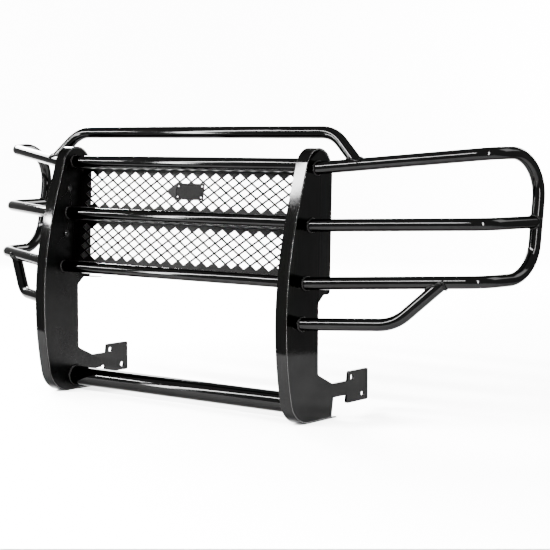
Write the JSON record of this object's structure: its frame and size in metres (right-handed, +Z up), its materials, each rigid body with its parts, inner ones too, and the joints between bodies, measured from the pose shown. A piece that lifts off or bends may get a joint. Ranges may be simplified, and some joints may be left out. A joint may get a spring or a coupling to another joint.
{
  "type": "front grille guard",
  "caption": "Black steel grille guard: two boxed uprights, round crossbars, diamond-mesh panels, a top hoop, wraparound headlight wings and frame brackets.",
  "frame": {"origin": "middle of the footprint seen from above, on the plane that the two uprights' feet stand on", "axes": "+X across the truck, to the right of someone who looks at the guard from in front; +Y back towards the truck; +Z up"},
  "size_m": [2.1374, 0.5744, 0.8893],
  "materials": {
    "gloss_black_coat": "gloss black powder coat",
    "gloss_black_tube": "gloss black powder coat",
    "black_mesh": "semi-gloss black powder coat",
    "plate_black": "gloss black",
    "bright_rivet": "satin",
    "black_fastener": "semi-gloss black"
  },
  "bodies": {
    "root": {"left_upright_front_band": "gloss_black_coat", "right_upright_front_band": "gloss_black_coat", "left_upright_outer_plate": "gloss_black_coat", "right_upright_outer_plate": "gloss_black_coat", "left_upright_inner_plate": "gloss_black_coat", "right_upright_inner_plate": "gloss_black_coat", "left_upright_rear_channel": "gloss_black_coat", "right_upright_rear_channel": "gloss_black_coat", "upper_crossbar": "gloss_black_tube", "middle_crossbar": "gloss_black_tube", "lower_crossbar": "gloss_black_tube", "bottom_cross_pipe": "gloss_black_tube", "top_hoop": "gloss_black_tube", "left_wing_hoop": "gloss_black_tube", "right_wing_hoop": "gloss_black_tube", "left_wing_middle_bar": "gloss_black_tube", "right_wing_middle_bar": "gloss_black_tube", "left_wing_lower_brace": "gloss_black_tube", "right_wing_lower_brace": "gloss_black_tube", "upper_mesh_panel": "black_mesh", "lower_mesh_panel": "black_mesh", "name_plate": "plate_black", "name_plate_rivets": "bright_rivet", "left_grille_bolts": "black_fastener", "right_grille_bolts": "black_fastener", "left_frame_bracket": "gloss_black_coat", "right_frame_bracket": "gloss_black_coat", "left_grille_support_tab": "gloss_black_coat", "right_grille_support_tab": "gloss_black_coat"}
  },
  "joints": []
}
